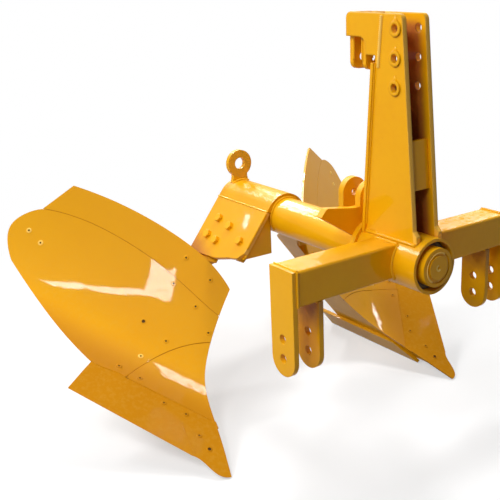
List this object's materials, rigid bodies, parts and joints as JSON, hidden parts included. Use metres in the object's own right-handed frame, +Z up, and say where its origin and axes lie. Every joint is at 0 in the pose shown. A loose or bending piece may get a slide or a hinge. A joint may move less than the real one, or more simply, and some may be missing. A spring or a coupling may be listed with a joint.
{
  "type": "reversible mouldboard plough",
  "caption": "Mounted reversible plough: hitch headstock with mast, turning beam and two mirrored bodies with mouldboard, share, shin and trash board.",
  "frame": {"origin": "on the turnover axis, in the upright plane through the middle of the crossbeam", "axes": "+X forward to the tractor along the turnover axis, +Y to the left, +Z up"},
  "size_m": [1.4648, 1.6856, 1.4502],
  "materials": {
    "paint": "gloss",
    "nut_paint": "gloss",
    "spindle_steel": "satin",
    "bush": "matt",
    "dark_bolt": "satin"
  },
  "bodies": {
    "headstock": {"crossbeam_left": "paint", "crossbeam_right": "paint", "cylinder_ear_front": "paint", "cylinder_ear_rear": "paint", "hub_bushes": "bush", "hub_tube": "paint", "link_plate_inner_left": "paint", "link_plate_inner_right": "paint", "link_plate_outer_left": "paint", "link_plate_outer_right": "paint", "mast_back_plate": "paint", "mast_bridge": "paint", "mast_plate_left": "paint", "mast_plate_right": "paint", "stop_screw_left": "dark_bolt", "stop_screw_right": "dark_bolt", "stop_shelf_left": "paint", "stop_shelf_right": "paint"},
    "rotor": {"beam_end_cap": "paint", "beam_tube": "paint", "cheek_left": "paint", "cheek_right": "paint", "crank_lug_rear": "paint", "crank_plate": "paint", "frog_left": "paint", "frog_right": "paint", "head_gussets_left": "paint", "head_gussets_right": "paint", "head_saddle": "paint", "landside_left": "paint", "landside_right": "paint", "leg_bolts_left": "paint", "leg_bolts_right": "paint", "leg_left": "paint", "leg_right": "paint", "lifting_eye": "paint", "mouldboard_left": "paint", "mouldboard_right": "paint", "share_left": "paint", "share_right": "paint", "shin_left": "paint", "shin_right": "paint", "spindle": "spindle_steel", "spindle_nut": "nut_paint", "stay_left": "paint", "stay_right": "paint", "thrust_washer": "nut_paint", "trash_board_left": "paint", "trash_board_right": "paint", "trash_bracket_left": "paint", "trash_bracket_right": "paint"}
  },
  "joints": [
    {"name": "turnover", "type": "hinge", "parent": "headstock", "child": "rotor", "pos_m": [0, 0, 0], "axis": [1, 0, 0], "range_deg": [-37.5, 37.5]}
  ]
}
